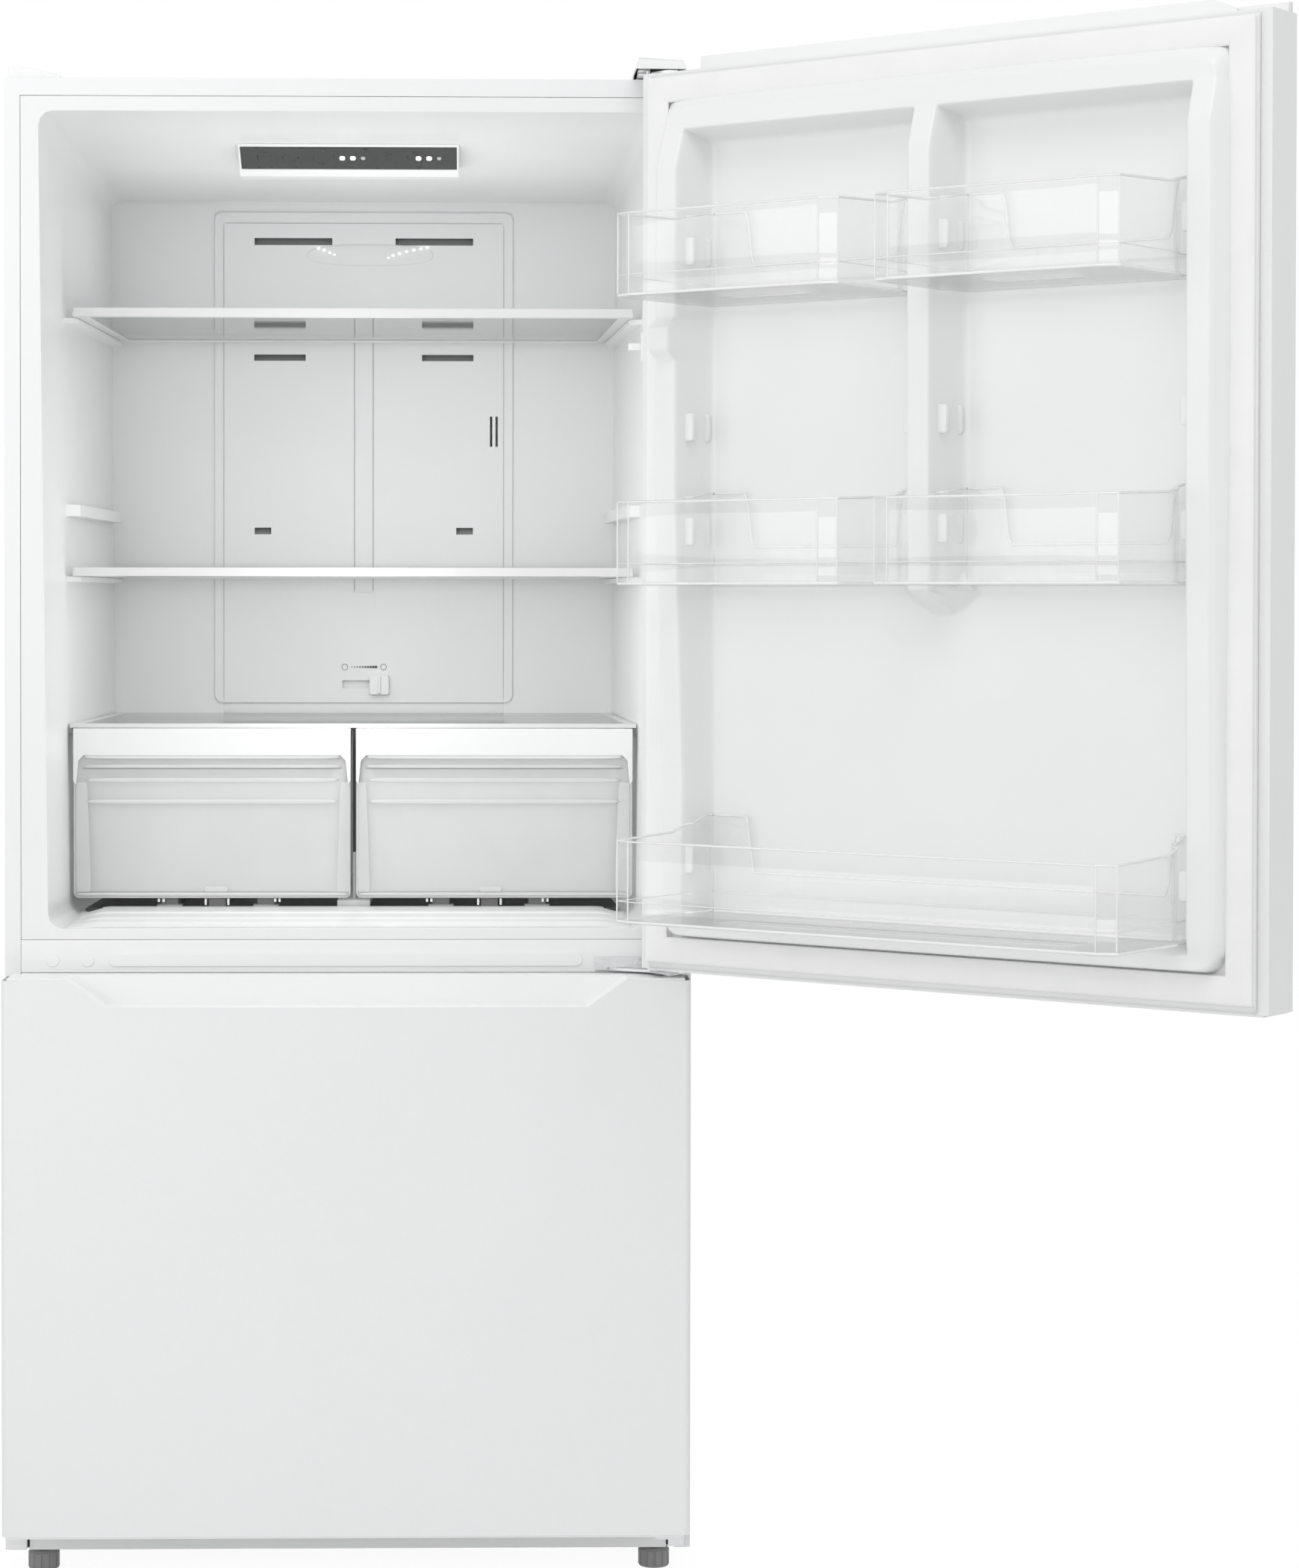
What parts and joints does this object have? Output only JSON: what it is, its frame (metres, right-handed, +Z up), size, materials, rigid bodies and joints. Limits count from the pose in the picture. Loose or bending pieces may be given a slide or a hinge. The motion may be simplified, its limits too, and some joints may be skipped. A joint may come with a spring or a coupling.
{
  "type": "bottom freezer refrigerator",
  "caption": "Upright refrigerator with an open fresh-food compartment above and a closed freezer below: glass shelves, crispers, door bins and a swung-open door.",
  "frame": {"origin": "middle of the footprint on the floor, taken over the whole object with its fridge door standing open", "axes": "+Z up, -Y towards the user, +X to the right as seen from the front"},
  "size_m": [1.3218, 1.2814, 1.6774],
  "materials": {
    "white_steel": "smooth white enamel over folded sheet steel",
    "pebbled_steel": "white enamel with a fine pebbled grain",
    "galvanised_steel": "plain coated sheet steel",
    "zinc_steel": "bright zinc plating",
    "white_plastic": "satin white moulding",
    "liner_plastic": "vacuum-formed white lining, soft gloss",
    "clear_plastic": "clear moulded plastic with frosted rims",
    "gasket_vinyl": "soft white vinyl",
    "clear_glass": "clear tempered glass with a green edge",
    "panel_grey": "dark grey printed panel",
    "grey_plastic": "light grey moulding",
    "dark_plastic": "dark moulding",
    "foam": "rigid insulating foam",
    "black_shell": "black enamel",
    "bare_aluminium": "bare finned coil"
  },
  "bodies": {
    "cabinet": {"cabinet_wrapper": "white_steel", "cabinet_back": "galvanised_steel", "cabinet_foam": "foam", "base_rail": "white_steel", "mid_rail": "white_steel", "fridge_liner": "liner_plastic", "freezer_liner": "liner_plastic", "air_tower": "liner_plastic", "light_lens": "clear_plastic", "control_housing": "white_plastic", "control_panel": "panel_grey", "light_switch_plate": "white_plastic", "crisper_cover_frame": "white_plastic", "crisper_cover_glass": "clear_glass", "crisper_base": "grey_plastic", "top_hinge": "zinc_steel", "top_hinge_cover": "white_plastic", "top_hinge_blank": "white_plastic", "mid_hinge": "zinc_steel", "bottom_hinge": "zinc_steel", "bottom_hinge_blank": "white_plastic", "compressor": "black_shell", "machine_cover": "galvanised_steel", "fan_shroud": "dark_plastic", "drain_pan": "dark_plastic", "freezer_back_panel": "liner_plastic", "evaporator": "bare_aluminium", "freezer_drawer_upper": "clear_plastic", "freezer_drawer_lower": "clear_plastic"},
    "fridge_door": {"fridge_door_skin": "pebbled_steel", "fridge_door_liner": "liner_plastic", "fridge_door_gasket": "gasket_vinyl", "fridge_door_top_cap": "white_plastic", "fridge_door_bottom_cap": "white_plastic"},
    "freezer_door": {"freezer_door_skin": "pebbled_steel", "freezer_door_liner": "liner_plastic", "freezer_door_gasket": "gasket_vinyl", "freezer_door_top_cap": "white_plastic", "freezer_door_bottom_cap": "white_plastic"},
    "shelf_upper": {"shelf_upper_frame": "white_plastic", "shelf_upper_glass": "clear_glass"},
    "shelf_lower": {"shelf_lower_frame": "white_plastic", "shelf_lower_glass": "clear_glass"},
    "crisper_left": {"crisper_left_tub": "clear_plastic", "crisper_left_front": "white_plastic"},
    "crisper_right": {"crisper_right_tub": "clear_plastic", "crisper_right_front": "white_plastic"},
    "door_bin_upper_hinge": {"door_bin_upper_hinge": "clear_plastic"},
    "door_bin_upper_free": {"door_bin_upper_free": "clear_plastic"},
    "door_bin_middle_hinge": {"door_bin_middle_hinge": "clear_plastic"},
    "door_bin_middle_free": {"door_bin_middle_free": "clear_plastic"},
    "door_bin_bottom": {"door_bin_bottom": "clear_plastic"},
    "temperature_knob": {"temperature_knob": "white_plastic"},
    "light_switch_lever": {"light_switch_lever": "white_plastic"},
    "foot_left": {"foot_left": "grey_plastic"},
    "foot_right": {"foot_right": "grey_plastic"},
    "roller_left": {"roller_left": "dark_plastic"},
    "roller_right": {"roller_right": "dark_plastic"},
    "condenser_fan": {"condenser_fan": "dark_plastic"},
    "evaporator_fan": {"evaporator_fan": "dark_plastic"}
  },
  "joints": [
    {"name": "fridge_door_swing", "type": "hinge", "parent": "cabinet", "child": "fridge_door", "pos_m": [0.07308, -0.09182, 1.165], "axis": [0, 0, 1], "range_deg": [-141.4, 6]},
    {"name": "freezer_door_swing", "type": "hinge", "parent": "cabinet", "child": "freezer_door", "pos_m": [0.07308, -0.09182, 0.36], "axis": [0, 0, 1], "range_deg": [0, 130]},
    {"name": "crisper_left_slide", "type": "slide", "parent": "cabinet", "child": "crisper_left", "axis": [0, -1, 0], "range_m": [0, 0.3]},
    {"name": "crisper_right_slide", "type": "slide", "parent": "cabinet", "child": "crisper_right", "axis": [0, -1, 0], "range_m": [0, 0.3]},
    {"name": "shelf_upper_slide", "type": "slide", "parent": "cabinet", "child": "shelf_upper", "axis": [0, -1, 0], "range_m": [0, 0.25]},
    {"name": "shelf_lower_slide", "type": "slide", "parent": "cabinet", "child": "shelf_lower", "axis": [0, -1, 0], "range_m": [0, 0.25]},
    {"name": "door_bin_upper_hinge_lift", "type": "slide", "parent": "fridge_door", "child": "door_bin_upper_hinge", "axis": [0, 0, 1], "range_m": [0, 0.05]},
    {"name": "door_bin_upper_free_lift", "type": "slide", "parent": "fridge_door", "child": "door_bin_upper_free", "axis": [0, 0, 1], "range_m": [0, 0.05]},
    {"name": "door_bin_middle_hinge_lift", "type": "slide", "parent": "fridge_door", "child": "door_bin_middle_hinge", "axis": [0, 0, 1], "range_m": [0, 0.05]},
    {"name": "door_bin_middle_free_lift", "type": "slide", "parent": "fridge_door", "child": "door_bin_middle_free", "axis": [0, 0, 1], "range_m": [0, 0.05]},
    {"name": "door_bin_bottom_lift", "type": "slide", "parent": "fridge_door", "child": "door_bin_bottom", "axis": [0, 0, 1], "range_m": [0, 0.05]},
    {"name": "temperature_knob_slide", "type": "slide", "parent": "cabinet", "child": "temperature_knob", "axis": [-1, 0, 0], "range_m": [0, 0.038]},
    {"name": "light_switch_turn", "type": "hinge", "parent": "cabinet", "child": "light_switch_lever", "pos_m": [0.04941, 0.09018, 1.371], "axis": [0, 0, -1], "range_deg": [0, 18], "stiffness_Nm_per_rad": 0.003, "springref_deg": -20.05},
    {"name": "foot_left_turn", "type": "hinge", "parent": "cabinet", "child": "foot_left", "pos_m": [-0.62242, -0.01782, 0.011], "axis": [0, 0, 1], "continuous": true},
    {"name": "foot_right_turn", "type": "hinge", "parent": "cabinet", "child": "foot_right", "pos_m": [0.05958, -0.01782, 0.011], "axis": [0, 0, 1], "continuous": true},
    {"name": "roller_left_spin", "type": "hinge", "parent": "cabinet", "child": "roller_left", "pos_m": [-0.60142, 0.57818, 0.018], "axis": [1, 0, 0], "continuous": true},
    {"name": "roller_right_spin", "type": "hinge", "parent": "cabinet", "child": "roller_right", "pos_m": [0.03858, 0.57818, 0.018], "axis": [1, 0, 0], "continuous": true},
    {"name": "condenser_fan_spin", "type": "hinge", "parent": "cabinet", "child": "condenser_fan", "pos_m": [-0.22142, 0.50818, 0.15], "axis": [1, 0, 0], "continuous": true},
    {"name": "evaporator_fan_spin", "type": "hinge", "parent": "cabinet", "child": "evaporator_fan", "pos_m": [-0.28142, 0.49518, 0.6], "axis": [0, 1, 0], "continuous": true}
  ]
}
